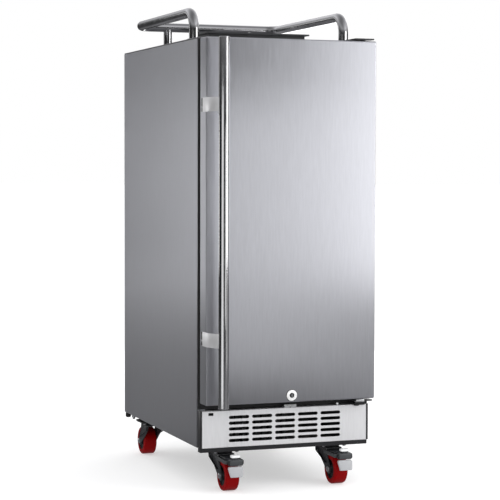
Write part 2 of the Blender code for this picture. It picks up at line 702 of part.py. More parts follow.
def make_brake(label, x, y, fork):
    """Foot brake: a release tab above a lever above the pedal, on one pin."""
    pin_y = y - 0.016
    pin_z = -0.0245
    pin = (x, pin_y, pin_z)
    cut(fork, cylinder("brake_hole_" + label, pin, "x", 0.0022, 0.06, sides=10))
    pedal = box("brake_pedal_" + label, (x - 0.015, x + 0.015), (-0.058, -0.0425),
                (-0.0330, -0.0190), ZINC)
    weld(pedal, box("release_web_" + label, (x - 0.006, x + 0.006), (-0.055, -0.050),
                    (-0.0200, -0.0110), ZINC))
    weld(pedal, box("release_tab_" + label, (x - 0.010, x + 0.010), (-0.060, -0.047),
                    (-0.0155, -0.0100), ZINC))
    weld(pedal, box("foot_web_" + label, (x - 0.010, x + 0.010), (-0.057, -0.052),
                    (-0.0400, -0.0320), ZINC))
    weld(pedal, box("foot_plate_" + label, (x - 0.0155, x + 0.0155), (-0.062, -0.050),
                    (-0.0570, -0.0352), ZINC))
    inside = 0.0186
    outside = 0.0208
    for index, (low, high) in enumerate(((-outside, -inside), (inside, outside))):
        arm = [(-0.054, -0.0215), (-0.054, -0.0300), (pin_y, pin_z - 0.004),
               (pin_y + 0.004, pin_z), (pin_y, pin_z + 0.004)]
        weld(pedal, prism("brake_arm_%s_%d" % (label, index), arm, "yz", x + low, x + high, ZINC))
    weld(pedal, box("brake_bar_" + label, (x - outside, x + outside), (-0.0545, -0.0500),
                    (-0.0295, -0.0220), ZINC))
    weld(pedal, cylinder("brake_pin_" + label, pin, "x", 0.0018, 2 * outside - 0.0004, ZINC, 10))
    axis = pivot("brake_axis_" + label, *pin)
    carry(axis, pedal)
    return axis


def main():
    make_side_panel("left_side_panel", -1)
    make_side_panel("right_side_panel", 1)
    make_top_panel()
    make_tower_hole_plug()
    make_back()
    make_inner_shells()
    make_front_frame()
    make_base()
    make_kick_plate()
    make_guard_rail()
    make_drip_tray()
    make_hinges()
    make_lock_strike()
    door_hinge = pivot("door_hinge", HINGE_X, HINGE_Y, DOOR_BOTTOM)
    carry(door_hinge, *make_door(), *make_handle(), *make_lock())
    make_evaporator()
    make_thermostat()
    make_machine_space()
    make_caster("front_left", -0.1228, 0.030, -1, True)
    make_caster("front_right", 0.1228, 0.030, -1, True)
    make_caster("rear_left", -0.153, 0.455, 1, False)
    make_caster("rear_right", 0.153, 0.455, 1, False)


main()
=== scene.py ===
"""Looks of the stainless keg cooler: materials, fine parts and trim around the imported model.

Everything is in metres, in the model's own frame: +Z up, -Y is the front, the floor is z = 0.
"""
import json
import math

import bmesh
import bpy
from mathutils import Matrix, Vector


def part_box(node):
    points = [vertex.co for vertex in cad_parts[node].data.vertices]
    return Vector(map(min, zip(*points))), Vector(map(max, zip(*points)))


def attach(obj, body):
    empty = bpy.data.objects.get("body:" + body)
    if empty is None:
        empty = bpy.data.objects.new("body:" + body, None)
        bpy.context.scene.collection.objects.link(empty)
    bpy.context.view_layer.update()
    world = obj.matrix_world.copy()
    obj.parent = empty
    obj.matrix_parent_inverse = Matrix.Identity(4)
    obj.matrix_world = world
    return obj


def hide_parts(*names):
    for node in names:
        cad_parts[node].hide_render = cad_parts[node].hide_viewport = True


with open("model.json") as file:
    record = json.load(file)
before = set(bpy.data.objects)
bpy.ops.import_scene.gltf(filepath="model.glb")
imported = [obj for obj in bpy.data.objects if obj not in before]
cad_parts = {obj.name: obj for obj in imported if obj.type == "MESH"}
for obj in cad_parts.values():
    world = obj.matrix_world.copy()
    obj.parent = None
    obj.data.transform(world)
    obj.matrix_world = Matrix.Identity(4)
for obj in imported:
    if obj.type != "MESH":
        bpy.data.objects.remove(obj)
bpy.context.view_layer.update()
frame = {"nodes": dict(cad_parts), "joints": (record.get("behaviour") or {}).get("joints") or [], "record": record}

JOINTS = {joint["name"]: joint for joint in frame["joints"]}
LOCK_BODY = JOINTS["lock_turn"]["child"]
CASTERS = ("front_left", "front_right", "rear_left", "rear_right")

# Camera: its place, then its yaw, pitch and roll, then its focal length on a 36 mm sensor
CAMERA_PLACE = (-1.28362, -3.54815, 0.67915)
CAMERA_DEGREES = (20.01, -2.834, 0.148)
CAMERA_LENS_MM = 121.52

AXIS_TURN = {
    "x": Matrix.Rotation(math.pi / 2, 4, "Y"),
    "y": Matrix.Rotation(-math.pi / 2, 4, "X"),
    "z": Matrix.Identity(4),
}


# Materials

class Shader:
    """A node material being built: the principled shader and short ways to add nodes."""

    def __init__(self, name):
        self.material = bpy.data.materials.new(name)
        self.material.use_nodes = True
        self.tree = self.material.node_tree
        self.principled = self.tree.nodes["Principled BSDF"]

    def add(self, kind, **settings):
        node = self.tree.nodes.new(kind)
        for key, value in settings.items():
            setattr(node, key, value)
        return node

    def join(self, source, target):
        self.tree.links.new(source, target)

    def set(self, **values):
        """Set inputs of the principled shader, with _ for a space in the input's name."""
        for key, value in values.items():
            self.principled.inputs[key.replace("_", " ")].default_value = value

    def noise(self, scale, stretch=(1, 1, 1), detail=3.0):
        """Noise in object space, squeezed or stretched along the axes. Gives its factor."""
        place = self.add("ShaderNodeTexCoord")
        mapping = self.add("ShaderNodeMapping")
        mapping.inputs["Scale"].default_value = stretch
        self.join(place.outputs["Object"], mapping.inputs["Vector"])
        texture = self.add("ShaderNodeTexNoise")
        texture.inputs["Scale"].default_value = scale
        texture.inputs["Detail"].default_value = detail
        self.join(mapping.outputs["Vector"], texture.inputs["Vector"])
        return texture.outputs["Factor" if "Factor" in texture.outputs else "Fac"]

    def spread(self, factor, low, high):
        """Map a factor around 0.5 to values from low to high."""
        ramp = self.add("ShaderNodeMapRange")
        ramp.inputs["From Min"].default_value = 0.3
        ramp.inputs["From Max"].default_value = 0.7
        ramp.inputs["To Min"].default_value = low
        ramp.inputs["To Max"].default_value = high
        self.join(factor, ramp.inputs["Value"])
        return ramp.outputs["Result"]

    def tint(self, factor, colour, change):
        """Base colour that varies by a share of itself with the factor."""
        mix = self.add("ShaderNodeMix", data_type="RGBA")
        mix.inputs["A"].default_value = (*[c * (1 - change) for c in colour], 1)
        mix.inputs["B"].default_value = (*[min(1.0, c * (1 + change)) for c in colour], 1)
        self.join(self.spread(factor, 0.0, 1.0), mix.inputs["Factor"])
        self.join(mix.outputs["Result"], self.principled.inputs["Base Color"])

    def rough(self, factor, low, high):
        self.join(self.spread(factor, low, high), self.principled.inputs["Roughness"])

    def bump(self, factor, height):
        node = self.add("ShaderNodeBump")
        node.inputs["Distance"].default_value = height
        node.inputs["Strength"].default_value = 1.0
        self.join(factor, node.inputs["Height"])
        self.join(node.outputs["Normal"], self.principled.inputs["Normal"])


def brushed_steel(name, colour, roughness, along="z", anisotropy=0.5, streak=0.035,
                  metal=1.0):
    """Stainless sheet with fine grain lines along one axis."""
    shader = Shader(name)
    squeeze = {"x": (0.07, 1, 1), "y": (1, 0.07, 1), "z": (1, 1, 0.07)}[along]
    grain = shader.noise(430, squeeze, 4.0)
    cloud = shader.noise(5, (1, 1, 1), 2.0)
    shader.set(Metallic=metal, Anisotropic=anisotropy)
    shader.tint(grain, colour, streak)
    both = shader.add("ShaderNodeMath", operation="MULTIPLY_ADD")
    both.inputs[1].default_value = 0.25
    shader.join(cloud, both.inputs[0])
    shader.join(shader.spread(grain, -0.10, 0.65), both.inputs[2])
    shader.rough(both.outputs["Value"], roughness - 0.02, roughness + 0.02)
    shader.bump(grain, 0.000002)
    tangent = shader.add("ShaderNodeTangent", direction_type="RADIAL", axis="Z")
    shader.join(tangent.outputs["Tangent"], shader.principled.inputs["Tangent"])
    return shader.material


def polished_steel(name, colour, roughness, metal=1.0):
    """Polished tube: a mirror with faint drawing lines and smudges."""
    shader = Shader(name)
    smudge = shader.noise(35, (1, 1, 1), 3.0)
    shader.set(Metallic=metal)
    shader.tint(smudge, colour, 0.02)
    shader.rough(smudge, roughness * 0.8, roughness * 1.3)
    shader.bump(shader.noise(700, (1, 1, 0.05), 2.0), 0.000004)
    return shader.material


def plated_steel(name, colour, roughness):
    """Zinc plate: dull metal with small crystal patches."""
    shader = Shader(name)
    patches = shader.noise(260, (1, 1, 1), 5.0)
    shader.set(Metallic=1.0)
    shader.tint(patches, colour, 0.10)
    shader.rough(patches, roughness - 0.08, roughness + 0.08)
    shader.bump(patches, 0.00003)
    return shader.material


def coated(name, colour, roughness, texture_scale=1200, height=0.00003, change=0.12,
           specular=0.5):
    """Paint, plastic or rubber with a fine moulded or sprayed texture."""
    shader = Shader(name)
    fine = shader.noise(texture_scale, (1, 1, 1), 3.0)
    broad = shader.noise(9, (1, 1, 1), 2.0)
    shader.set(Specular_IOR_Level=specular)
    shader.tint(broad, colour, change)
    shader.rough(fine, roughness - 0.05, roughness + 0.05)
    shader.bump(fine, height)
    return shader.material


STEEL = (0.545, 0.55, 0.588)
DOOR_STEEL = brushed_steel("door_brushed_steel", STEEL, 0.30, anisotropy=0.75)
SIDE_STEEL = brushed_steel("side_brushed_steel", STEEL, 0.33, anisotropy=0.5)
TOP_STEEL = brushed_steel("top_brushed_steel", (0.26, 0.26, 0.27), 0.34, along="y")
KICK_STEEL = brushed_steel("kick_plate_steel", (0.69, 0.69, 0.705), 0.42,
                            anisotropy=0.2, metal=0.4)
POLISHED = polished_steel("polished_steel", (0.62, 0.62, 0.63), 0.15)
STRAP_STEEL = polished_steel("strap_steel", (0.76, 0.76, 0.77), 0.42, 0.7)
CHROME = polished_steel("bright_chrome", (0.90, 0.90, 0.90), 0.05)
LOCK_CHROME = polished_steel("lock_chrome", (0.95, 0.95, 0.95), 0.20, 0.4)
ZINC = plated_steel("zinc_plate", (0.62, 0.63, 0.65), 0.38)
BRIGHT_ZINC = plated_steel("bright_zinc_plate", (0.80, 0.81, 0.82), 0.34)
BLACK_PAINT = coated("black_paint", (0.012, 0.012, 0.014), 0.38)
FORK_PAINT = coated("fork_paint", (0.020, 0.021, 0.024), 0.30)
DARK_GREY = coated("dark_grey_plate", (0.045, 0.048, 0.052), 0.42)
BLACK_PLASTIC = coated("black_plastic", (0.010, 0.010, 0.011), 0.50, 900)
WHITE_PLASTIC = coated("white_plastic", (0.80, 0.80, 0.78), 0.33, 500, 0.00002, 0.02)
FOAM = coated("foam", (0.74, 0.64, 0.40), 0.90, 420, 0.0003)
RUBBER = coated("seal_rubber", (0.010, 0.010, 0.010), 0.62, 700)
TREAD_RED = coated("red_tread", (0.18, 0.0003, 0.0008), 0.32, 600, 0.00002, 0.06, 0.08)
PALE_TAB = coated("pale_tab", (0.72, 0.73, 0.74), 0.35, 700, 0.00003, 0.04)
COPPER = plated_steel("copper_tube", (0.72, 0.36, 0.22), 0.30)
PALE_PLATE = coated("pale_pedal", (0.37, 0.375, 0.39), 0.40, 700, 0.00003, 0.04)

SLOT_MATERIALS = {
    "brushed_stainless": SIDE_STEEL,
    "polished_stainless": POLISHED,
    "chrome": CHROME,
    "zinc_plated_steel": ZINC,
    "black_painted_steel": BLACK_PAINT,
    "black_plastic": BLACK_PLASTIC,
    "white_plastic": WHITE_PLASTIC,
    "foam": FOAM,
    "seal_rubber": RUBBER,
    "red_tread": TREAD_RED,
    "copper_tube": COPPER,
}
NODE_MATERIALS = {
    "door_skin": DOOR_STEEL,
    "top_panel": TOP_STEEL,
    "drip_tray": DARK_GREY,
    "kick_plate": KICK_STEEL,
    "lock_strike": BRIGHT_ZINC,
    "lock_plug": BLACK_PLASTIC,
    "lower_hinge_bracket": BLACK_PAINT,
}


def dress_frame():
    """Give every CAD node its material, and smooth shading over its rounded faces."""
    slots = {part["node"]: part["material_slot"] for part in frame["record"]["subparts"]}
    for name, node in frame["nodes"].items():
        node.data.materials.clear()
        node.data.materials.append(NODE_MATERIALS.get(name, SLOT_MATERIALS[slots[name]]))
        node.data.shade_smooth()
        node.data.set_sharp_from_angle(angle=math.radians(30))


# Shape makers

def finish_piece(name, work, material, body, smooth_angle=30):
    """Turn a bmesh into a named piece that rides on a body."""
    bmesh.ops.recalc_face_normals(work, faces=work.faces)
    mesh = bpy.data.meshes.new(name)
    work.to_mesh(mesh)
    work.free()
    mesh.shade_smooth()
    mesh.set_sharp_from_angle(angle=math.radians(smooth_angle))
    mesh.materials.append(material)
    piece = bpy.data.objects.new(name, mesh)
    bpy.context.scene.collection.objects.link(piece)
    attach(piece, body)
    return piece


def add_turned(work, centre, axis, profile, steps=48):
    """Turn a closed (radius, height) outline round an axis through centre."""
    place = Matrix.Translation(centre) @ AXIS_TURN[axis]
    rings = []
    for radius, height in profile:
        if radius < 1e-6:
            rings.append([work.verts.new(place @ Vector((0, 0, height)))])
            continue
        ring = []
        for index in range(steps):
            angle = math.tau * index / steps
            spot = Vector((radius * math.cos(angle), radius * math.sin(angle), height))
            ring.append(work.verts.new(place @ spot))
        rings.append(ring)
    for first, second in zip(rings, rings[1:] + rings[:1]):
        for index in range(steps):
            after = (index + 1) % steps
            corners = [first[index % len(first)], first[after % len(first)],
                       second[after % len(second)], second[index % len(second)]]
            corners = list(dict.fromkeys(corners))
            if len(corners) > 2:
                work.faces.new(corners)


def add_block(work, low, high, bevel=0.0, segments=2):
    """A box with rounded edges."""
    made = bmesh.ops.create_cube(work, size=1.0)["verts"]
    size = [b - a for a, b in zip(low, high)]
    middle = [(a + b) / 2 for a, b in zip(low, high)]
    bmesh.ops.scale(work, vec=size, verts=made)
    bmesh.ops.translate(work, vec=middle, verts=made)
    if bevel:
        edges = list({edge for vert in made for edge in vert.link_edges})
        bmesh.ops.bevel(work, geom=edges, offset=bevel, segments=segments, profile=0.5,
                        affect="EDGES", clamp_overlap=True)


def add_plate(work, outline, plane, low, high, bevel=0.0004):
    """A flat outline, drawn out along the third axis, with its rims rounded."""
    order = {"xy": (0, 1, 2), "xz": (0, 2, 1), "yz": (1, 2, 0)}[plane]
    corners = []
    for first, second in outline:
        spot = [0.0, 0.0, 0.0]
        spot[order[0]] = first
        spot[order[1]] = second
        spot[order[2]] = low
        corners.append(work.verts.new(spot))
    face = work.faces.new(corners)
    step = [0.0, 0.0, 0.0]
    step[order[2]] = high - low
    moved = bmesh.ops.extrude_face_region(work, geom=[face])["geom"]
    verts = [item for item in moved if isinstance(item, bmesh.types.BMVert)]
    bmesh.ops.translate(work, vec=step, verts=verts)
    if bevel:
        rims = set(face.edges)
        for vert in verts:
            rims.update(edge for edge in vert.link_edges if edge.other_vert(vert) in verts)
        bmesh.ops.bevel(work, geom=list(rims), offset=bevel, segments=2, profile=0.5,
                        affect="EDGES", clamp_overlap=True)


def arc(centre, radius, start, end, steps):
    """Points on an arc, angles in degrees."""
    points = []
    for index in range(steps + 1):
        angle = math.radians(start + (end - start) * index / steps)
        points.append((centre[0] + radius * math.cos(angle),
                       centre[1] + radius * math.sin(angle)))
    return points


def rounded(low, high, radius, steps=6):
    """A rectangle with round corners, from low to high corner."""
    points = []
    for corner, start in (((high[0], high[1]), 0), ((low[0], high[1]), 90),
                          ((low[0], low[1]), 180), ((high[0], low[1]), 270)):
        x = corner[0] - math.copysign(radius, corner[0] - (low[0] + high[0]) / 2)
        y = corner[1] - math.copysign(radius, corner[1] - (low[1] + high[1]) / 2)
        points += arc((x, y), radius, start, start + 90, steps)
    return points


def add_tube(work, points, radius, sides=32, closed=False):
    """A round tube along points, with flat caps on its ends unless it is a closed loop."""
    path = [Vector(point) for point in points]
    count = len(path)
    rings = []
    side = None
    for index, spot in enumerate(path):
        if closed:
            ahead = path[(index + 1) % count] - path[index - 1]
        else:
            ahead = path[min(index + 1, count - 1)] - path[max(index - 1, 0)]
        ahead.normalize()
        if side is None:
            side = ahead.orthogonal().normalized()
        side = (side - ahead * side.dot(ahead)).normalized()
        across = ahead.cross(side)
        ring = []
        for step in range(sides):
            angle = math.tau * step / sides
            ring.append(work.verts.new(spot + radius * (side * math.cos(angle)
                                                        + across * math.sin(angle))))
        rings.append(ring)
    pairs = list(zip(rings, rings[1:]))
    if closed:
        pairs.append((rings[-1], rings[0]))
    for first, second in pairs:
        for step in range(sides):
            after = (step + 1) % sides
            work.faces.new((first[step], first[after], second[after], second[step]))
    if not closed:
        work.faces.new(rings[0])
        work.faces.new(rings[-1])


def add_ring(work, low, high, profile):
    """A mitred frame in the xz plane. Its profile is a closed line of (inset, y) points."""
    corners = ((low[0], low[1], 1, 1), (high[0], low[1], -1, 1),
               (high[0], high[1], -1, -1), (low[0], high[1], 1, -1))
    rings = []
    for x, z, right, up in corners:
        rings.append([work.verts.new((x + right * inset, y, z + up * inset))
                      for inset, y in profile])
    for first, second in zip(rings, rings[1:] + rings[:1]):
        for step in range(len(profile)):
            after = (step + 1) % len(profile)
            work.faces.new((first[step], first[after], second[after], second[step]))


def turned(name, centre, axis, profile, material, body, steps=48, smooth_angle=30):
    """A named piece turned round an axis."""
    work = bmesh.new()
    add_turned(work, centre, axis, profile, steps)
    return finish_piece(name, work, material, body, smooth_angle)


def block(name, low, high, material, body, bevel=0.0006, segments=2):
    """A named box with rounded edges."""
    work = bmesh.new()
    add_block(work, low, high, bevel, segments)
    return finish_piece(name, work, material, body)


def node_middle(name):
    low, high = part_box(name)
    return (low + high) / 2


def screw(name, centre, axis, radius, height, body, material=ZINC):
    """A domed screw head with a round socket, facing along an axis such as -y."""
    toward = -1 if axis.startswith("-") else 1
    socket = radius * 0.45
    profile = [(0.0, height * 0.35), (socket, height * 0.35), (socket, height * 0.92),
               (radius * 0.62, height), (radius * 0.86, height * 0.72), (radius, height * 0.25),
               (radius, 0.0), (0.0, 0.0)]
    profile = [(r, toward * h) for r, h in profile]
    return turned(name, centre, axis[-1], profile, material, body, 24, 40)


# Door hardware

def make_handle():
    """The bar handle: a round tube, closed at the top and open at the bottom."""
    low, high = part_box("handle_tube")
    middle = (low + high) / 2
    radius = (high.x - low.x) / 2
    wall = 0.0015
    soft = 0.0012
    half = (high.z - low.z) / 2
    profile = [(0.0, half), (radius - soft, half)]
    profile += arc((radius - soft, half - soft), soft, 60, 0, 3)
    profile += [(radius, 0.0), (radius, -half + soft)]
    profile += arc((radius - soft, soft - half), soft, -30, -90, 2)
    profile += [(radius - wall, -half), (radius - wall, half - wall), (0.0, half - wall)]
    tube = turned("door_handle_tube", middle, "z", profile, POLISHED, "door",
                  64)
    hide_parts("handle_tube")


def make_straps():
    """Each strap runs along the door's side, then bows round its edge to the tube. A black block behind its rear
    end is painted shade.
    """
    thick = 0.0016
    turn = 40
    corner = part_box("door_skin")[0].y
    for label in ("upper", "lower"):
        name = "handle_bracket_" + label
        low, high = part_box(name)
        radius = (corner - low.y) / math.sin(math.radians(turn))
        centre = (low.x + radius, corner)
        outline = [(low.x, high.y)] + arc(centre, radius, 180, 180 + turn, 14)
        outline += arc(centre, radius - thick, 180 + turn, 180, 14) + [(low.x + thick, high.y)]
        work = bmesh.new()
        add_plate(work, outline, "xy", low.z, high.z, 0.0004)
        strap = finish_piece("handle_strap_" + label, work, STRAP_STEEL, "door")
        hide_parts(name)
        z = (low.z + high.z) / 2
        # A thin black block behind each strap's rear end paints the shade along that edge; the chrome screw sits
        # at it.
        block("strap_shade_block_" + label, (low.x + 0.0006, high.y + 0.0012, low.z + 0.001),
              (low.x + 0.0022, high.y + 0.0088, high.z - 0.001), BLACK_PLASTIC, "door",
              0.0004)
        screw("strap_screw_" + label, (low.x + 0.0006, high.y + 0.0050, z - 0.004), "-x", 0.0021,
              0.0014, "door", CHROME)


def make_lock():
    """The chrome ring round the keyhole, a thin black ring of painted shadow round it on the door face, and the
    plug with its slot.
    """
    centre = Vector(JOINTS["lock_turn"]["pos_m"])
    low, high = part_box("lock_housing")
    radius = (high.x - low.x) / 2
    face = low.y - centre.y
    back = high.y - centre.y
    bore = 0.0048
    neck = 0.0097
    flange = -0.0003
    profile = [(bore, back), (neck, back), (neck, flange), (radius, flange)]
    profile += [(radius, face * 0.45)]
    profile += arc((radius - 0.0022, face * 0.45), -face * 0.55, 0, -80, 5)
    profile += [(0.0062, face), (0.0054, face * 0.8), (bore, face * 0.5)]
    housing = turned("lock_ring", centre, "y", profile, LOCK_CHROME, "door", 64)
    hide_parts("lock_housing")
    # A thin black ring just outside the chrome ring paints the shadow round the lock on the door face.
    black_ring = [(0.0098, 0.0), (radius + 0.0010, 0.0), (radius + 0.0010, -0.0006), (0.0098, -0.0006)]
    turned("lock_shadow_ring", (centre.x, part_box("door_skin")[0].y, centre.z), "y", black_ring, RUBBER, "door",
           48)
    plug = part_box("lock_plug")[0].y
    block("key_slot", (centre.x - 0.0008, plug - 0.0001, centre.z - 0.0030),
          (centre.x + 0.0008, plug + 0.0006, centre.z + 0.0030), ZINC, LOCK_BODY,
          0.0)


# Guard rail

def make_rail():
    """One bent tube with its two back posts, and a thin washer under each foot."""
    low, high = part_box("guard_rail")
    radius = 0.0105
    top = high.z - radius
    front = low.y + radius
    back = high.y - radius
    side = high.x - radius
    bend = 0.036
    corner = 0.030
    half = [(-side, front, low.z)]
    for y, z in arc((front + bend, top - bend), bend, 180, 90, 14):
        half.append((-side, y, z))
    for x, y in arc((corner - side, back - corner), corner, 180, 90, 12):
        half.append((x, y, top))
    route = half + [(-x, y, z) for x, y, z in reversed(half)]
    work = bmesh.new()
    add_tube(work, route, radius, 40)
    rail = finish_piece("guard_rail_tube", work, POLISHED, "cabinet", 40)
    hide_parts("guard_rail")
    post_x = 0.0995
    post_radius = radius - 0.0004
    length = top - low.z
    for label, x in (("left", -post_x), ("right", post_x)):
        profile = [(0.0, 0.0), (post_radius, 0.0), (post_radius, length - 0.012),
                   (post_radius - 0.0005, length - 0.004), (0.0, length - 0.004)]
        turned("rail_post_" + label, (x, back, low.z), "z", profile, POLISHED, "cabinet",
               40)
    feet = [(-side, front), (side, front), (-post_x, back), (post_x, back)]
    washer = [(radius + 0.0001, 0.0), (radius + 0.0001, 0.0022), (radius + 0.0012, 0.0020),
              (radius + 0.0045, 0.0010), (radius + 0.0045, 0.0)]
    for index, (x, y) in enumerate(feet):
        turned("rail_washer_%d" % index, (x, y, low.z), "z", washer, POLISHED, "cabinet",
               40)


# Casters

def make_wheel(label):
    """Tread with soft shoulders on a dished hub."""
    centre = Vector(JOINTS["roll_" + label]["pos_m"])
    low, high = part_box("tread_" + label)
    radius = (high.z - low.z) / 2
    half = (high.x - low.x) / 2
    rim = 0.0215
    shoulder = 0.0040
    profile = [(rim, -half), (radius - shoulder - 0.001, -half)]
    profile += [(r, h) for h, r in arc((-half + shoulder, radius - shoulder), shoulder, 180, 90, 7)]
    profile += [(r, h) for h, r in arc((half - shoulder, radius - shoulder), shoulder, 90, 0, 7)]
    profile += [(radius - shoulder - 0.001, half), (rim, half)]
    body = "wheel_" + label
    tread = turned("wheel_tread_" + label, centre, "x", profile, TREAD_RED, body, 72)
    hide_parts("tread_" + label)
    bore = 0.0034
    dish = []
    for side in (-1, 1):
        steps = [(bore, 0.0148), (0.0085, 0.0148), (0.0092, 0.0142), (0.0100, 0.0105),
                 (0.0112, 0.0095), (0.0172, 0.0095), (0.0186, 0.0105), (0.0196, 0.0134),
                 (rim - 0.0003, 0.0134)]
        steps = [(r, side * h) for r, h in steps]
        dish += steps if side < 0 else list(reversed(steps))
    hub = turned("wheel_hub_" + label, centre, "x", dish, BLACK_PLASTIC, body, 48)
    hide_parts("hub_" + label)


def make_fork(label):
    """A pressed fork: crown, swivel race and two tapered legs with turned-out rear edges."""
    pivot = Vector(JOINTS["swivel_" + label]["pos_m"])
    axle = Vector(JOINTS["roll_" + label]["pos_m"])
    ahead = math.copysign(1.0, axle.y - pivot.y)
    body = "caster_" + label
    crown = pivot.z
    inside = 0.0158
    outside = 0.0182
    boss = 0.0102
    work = bmesh.new()
    add_block(work, (pivot.x - outside, pivot.y - 0.023, crown - 0.003),
              (pivot.x + outside, pivot.y + 0.023, crown), 0.0012)
    add_turned(work, (pivot.x, pivot.y, crown), "z",
               [(0.0, 0.0), (0.0200, 0.0), (0.0185, 0.0012), (0.0, 0.0012)], 36)
    if ahead < 0:
        add_block(work, (pivot.x - inside + 0.0006, pivot.y - 0.0600, crown - 0.0095),
                  (pivot.x + inside - 0.0006, pivot.y + 0.0060, crown - 0.0026), 0.0008)
    rear_top = pivot.y - ahead * 0.030
    front_top = pivot.y + ahead * 0.023
    start, end = (0, -140) if ahead > 0 else (180, 320)
    leg = [(rear_top, crown), (front_top, crown)]
    leg += [(front_top + ahead * 0.002, crown - 0.010)]
    leg += arc((axle.y, axle.z), boss, start, end, 12)
    leg += [(pivot.y - ahead * 0.026, crown - 0.012)]
    for side in (-1, 1):
        edge = sorted((pivot.x + side * inside, pivot.x + side * outside))
        add_plate(work, leg, "yz", edge[0], edge[1], 0.0005)
        reach = pivot.x + side * (outside + 0.0035)
        inner = pivot.x + side * (outside - 0.0008)
        heel = axle.y - ahead * 0.0085
        corners = [(rear_top, crown - 0.0012), (rear_top + ahead * 0.003, crown - 0.013),
                   (heel, axle.z + 0.012)]
        flange = []
        for y, z in corners:
            flange.append((inner, y, z))
        for y, z in reversed(corners):
            flange.append((reach, y - ahead * 0.0022, z))
        verts = [work.verts.new(spot) for spot in flange]
        faces = [work.faces.new((verts[0], verts[1], verts[4], verts[5])),
                 work.faces.new((verts[1], verts[2], verts[3], verts[4]))]
        bmesh.ops.solidify(work, geom=faces, thickness=0.0012)
    fork = finish_piece("caster_fork_" + label, work, FORK_PAINT, body, 35)
    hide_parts("fork_" + label)
    head = outside + 0.0003
    bolt = []
    for side in (-1, 1):
        end_of = [(0.0, head + 0.0034), (0.0046, head + 0.0034), (0.0056, head + 0.0026),
                  (0.0060, head), (0.0030, head)]
        end_of = [(r, side * h) for r, h in end_of]
        bolt += end_of if side < 0 else list(reversed(end_of))
    pin = turned("caster_axle_" + label, axle, "x", bolt, ZINC, body, 24, 40)
    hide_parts("axle_" + label)


def make_caster_plate(label):
    """Top plate with the ball race under it and four bolts through its corners."""
    low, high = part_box("caster_plate_" + label)
    centre = (low + high) / 2
    work = bmesh.new()
    outline = rounded((low.x, low.y), (high.x, high.y), 0.006, 5)
    add_plate(work, outline, "xy", high.z - 0.003, high.z, 0.0004)
    race = [(0.0, 0.0), (0.0205, 0.0), (0.0215, -0.0012), (0.0212, -0.0036), (0.0190, -0.0049),
            (0.0, -0.0049)]
    add_turned(work, (centre.x, centre.y, high.z - 0.003), "z", race, 40)
    plate = finish_piece("caster_top_plate_" + label, work, BLACK_PAINT, "cabinet")
    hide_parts("caster_plate_" + label)
    reach = 0.0235
    for index, (x, y) in enumerate(((-1, -1), (1, -1), (-1, 1), (1, 1))):
        spot = (centre.x + x * reach, centre.y + y * reach, high.z - 0.003)
        screw("caster_bolt_%s_%d" % (label, index), spot, "-z", 0.0042, 0.0030, "cabinet")


def make_brake(label):
    """Foot brake: pale release tab, dark lever with black plastic ends and a pale pedal under it."""
    name = "brake_pedal_" + label
    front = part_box(name)[0].y
    pin = Vector(JOINTS["brake_" + label]["pos_m"])
    body = "brake_" + label
    x = pin.x
    lever_half = 0.0140
    work = bmesh.new()
    add_block(work, (x - lever_half, front + 0.0040, pin.z - 0.0080),
              (x + lever_half, front + 0.0195, pin.z + 0.0050), 0.0022, 3)
    add_block(work, (x - 0.0055, front + 0.0080, pin.z),
              (x + 0.0055, front + 0.0150, pin.z + 0.0105), 0.0010)
    for side in (-1, 1):
        arm = [(front + 0.0190, pin.z + 0.0020), (front + 0.0190, pin.z - 0.0055),
               (pin.y, pin.z - 0.0040), (pin.y + 0.0040, pin.z), (pin.y, pin.z + 0.0040)]
        edge = sorted((x + side * 0.0186, x + side * 0.0206))
        add_plate(work, arm, "yz", edge[0], edge[1], 0.0004)
        edge = sorted((x + side * 0.0120, x + side * 0.0206))
        add_block(work, (edge[0], front + 0.0160, pin.z - 0.0055),
                  (edge[1], front + 0.0200, pin.z + 0.0020), 0.0010)
    lever = finish_piece("brake_lever_" + label, work, DARK_GREY, body)
    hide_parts(name)
    work = bmesh.new()
    tab = rounded((x - 0.0110, front + 0.0020), (x + 0.0080, front + 0.0150), 0.003, 4)
    add_plate(work, tab, "xy", pin.z + 0.0094, pin.z + 0.0146, 0.0012)
    finish_piece("brake_release_tab_" + label, work, PALE_TAB, body)
    work = bmesh.new()
    plate = [(-0.0155, -0.0090), (0.0110, -0.0090), (0.0138, -0.0115), (0.0138, -0.0290),
             (0.0120, -0.0310), (-0.0125, -0.0310), (-0.0178, -0.0140), (-0.0178, -0.0110)]
    pedal = [(x + across, pin.z + up) for across, up in plate]
    add_plate(work, pedal, "xz", front, front + 0.0085, 0.0016)
    finish_piece("brake_foot_plate_" + label, work, PALE_PLATE, body)
    for side in (-1, 1):
        edge = x + side * lever_half
        turned("brake_cap_%s_%s" % (label, "left" if side < 0 else "right"),
               (edge, front + 0.0105, pin.z - 0.0025), "x",
               [(0.0, side * 0.0022), (0.0044, side * 0.0022), (0.0054, side * 0.0008),
                (0.0054, -side * 0.0006), (0.0, -side * 0.0006)],
               BLACK_PLASTIC, body, 20)


# Trim on the cabinet

def make_front_trim():
    """Black frame behind the door, and black strips beside the kick plate that paint the shade on its side
    returns.
    """
    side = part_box("left_side_panel")[0]
    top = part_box("top_panel")[0].z
    kick_low, kick_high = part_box("kick_plate")
    face = side.y
    thick = 0.0009
    work = bmesh.new()
    add_ring(work, (side.x + 0.0007, kick_high.z + 0.0020), (-side.x - 0.0007, top - 0.0006),
             [(0.0, face - thick), (0.0180, face - thick), (0.0180, face), (0.0, face)])
    finish_piece("frame_shroud", work, BLACK_PLASTIC, "cabinet")
    # Black strips at both ends of the kick plate stand in for the shade on its side returns.
    shade_strip_width = 0.0038
    for label, left in (("left", side.x + 0.0006), ("right", kick_high.x)):
        block("kick_side_shade_" + label, (left, kick_low.y - 0.0006, kick_low.z),
              (left + shade_strip_width, face - 0.0002, kick_high.z + 0.0008), BLACK_PAINT, "cabinet",
              0.0005)


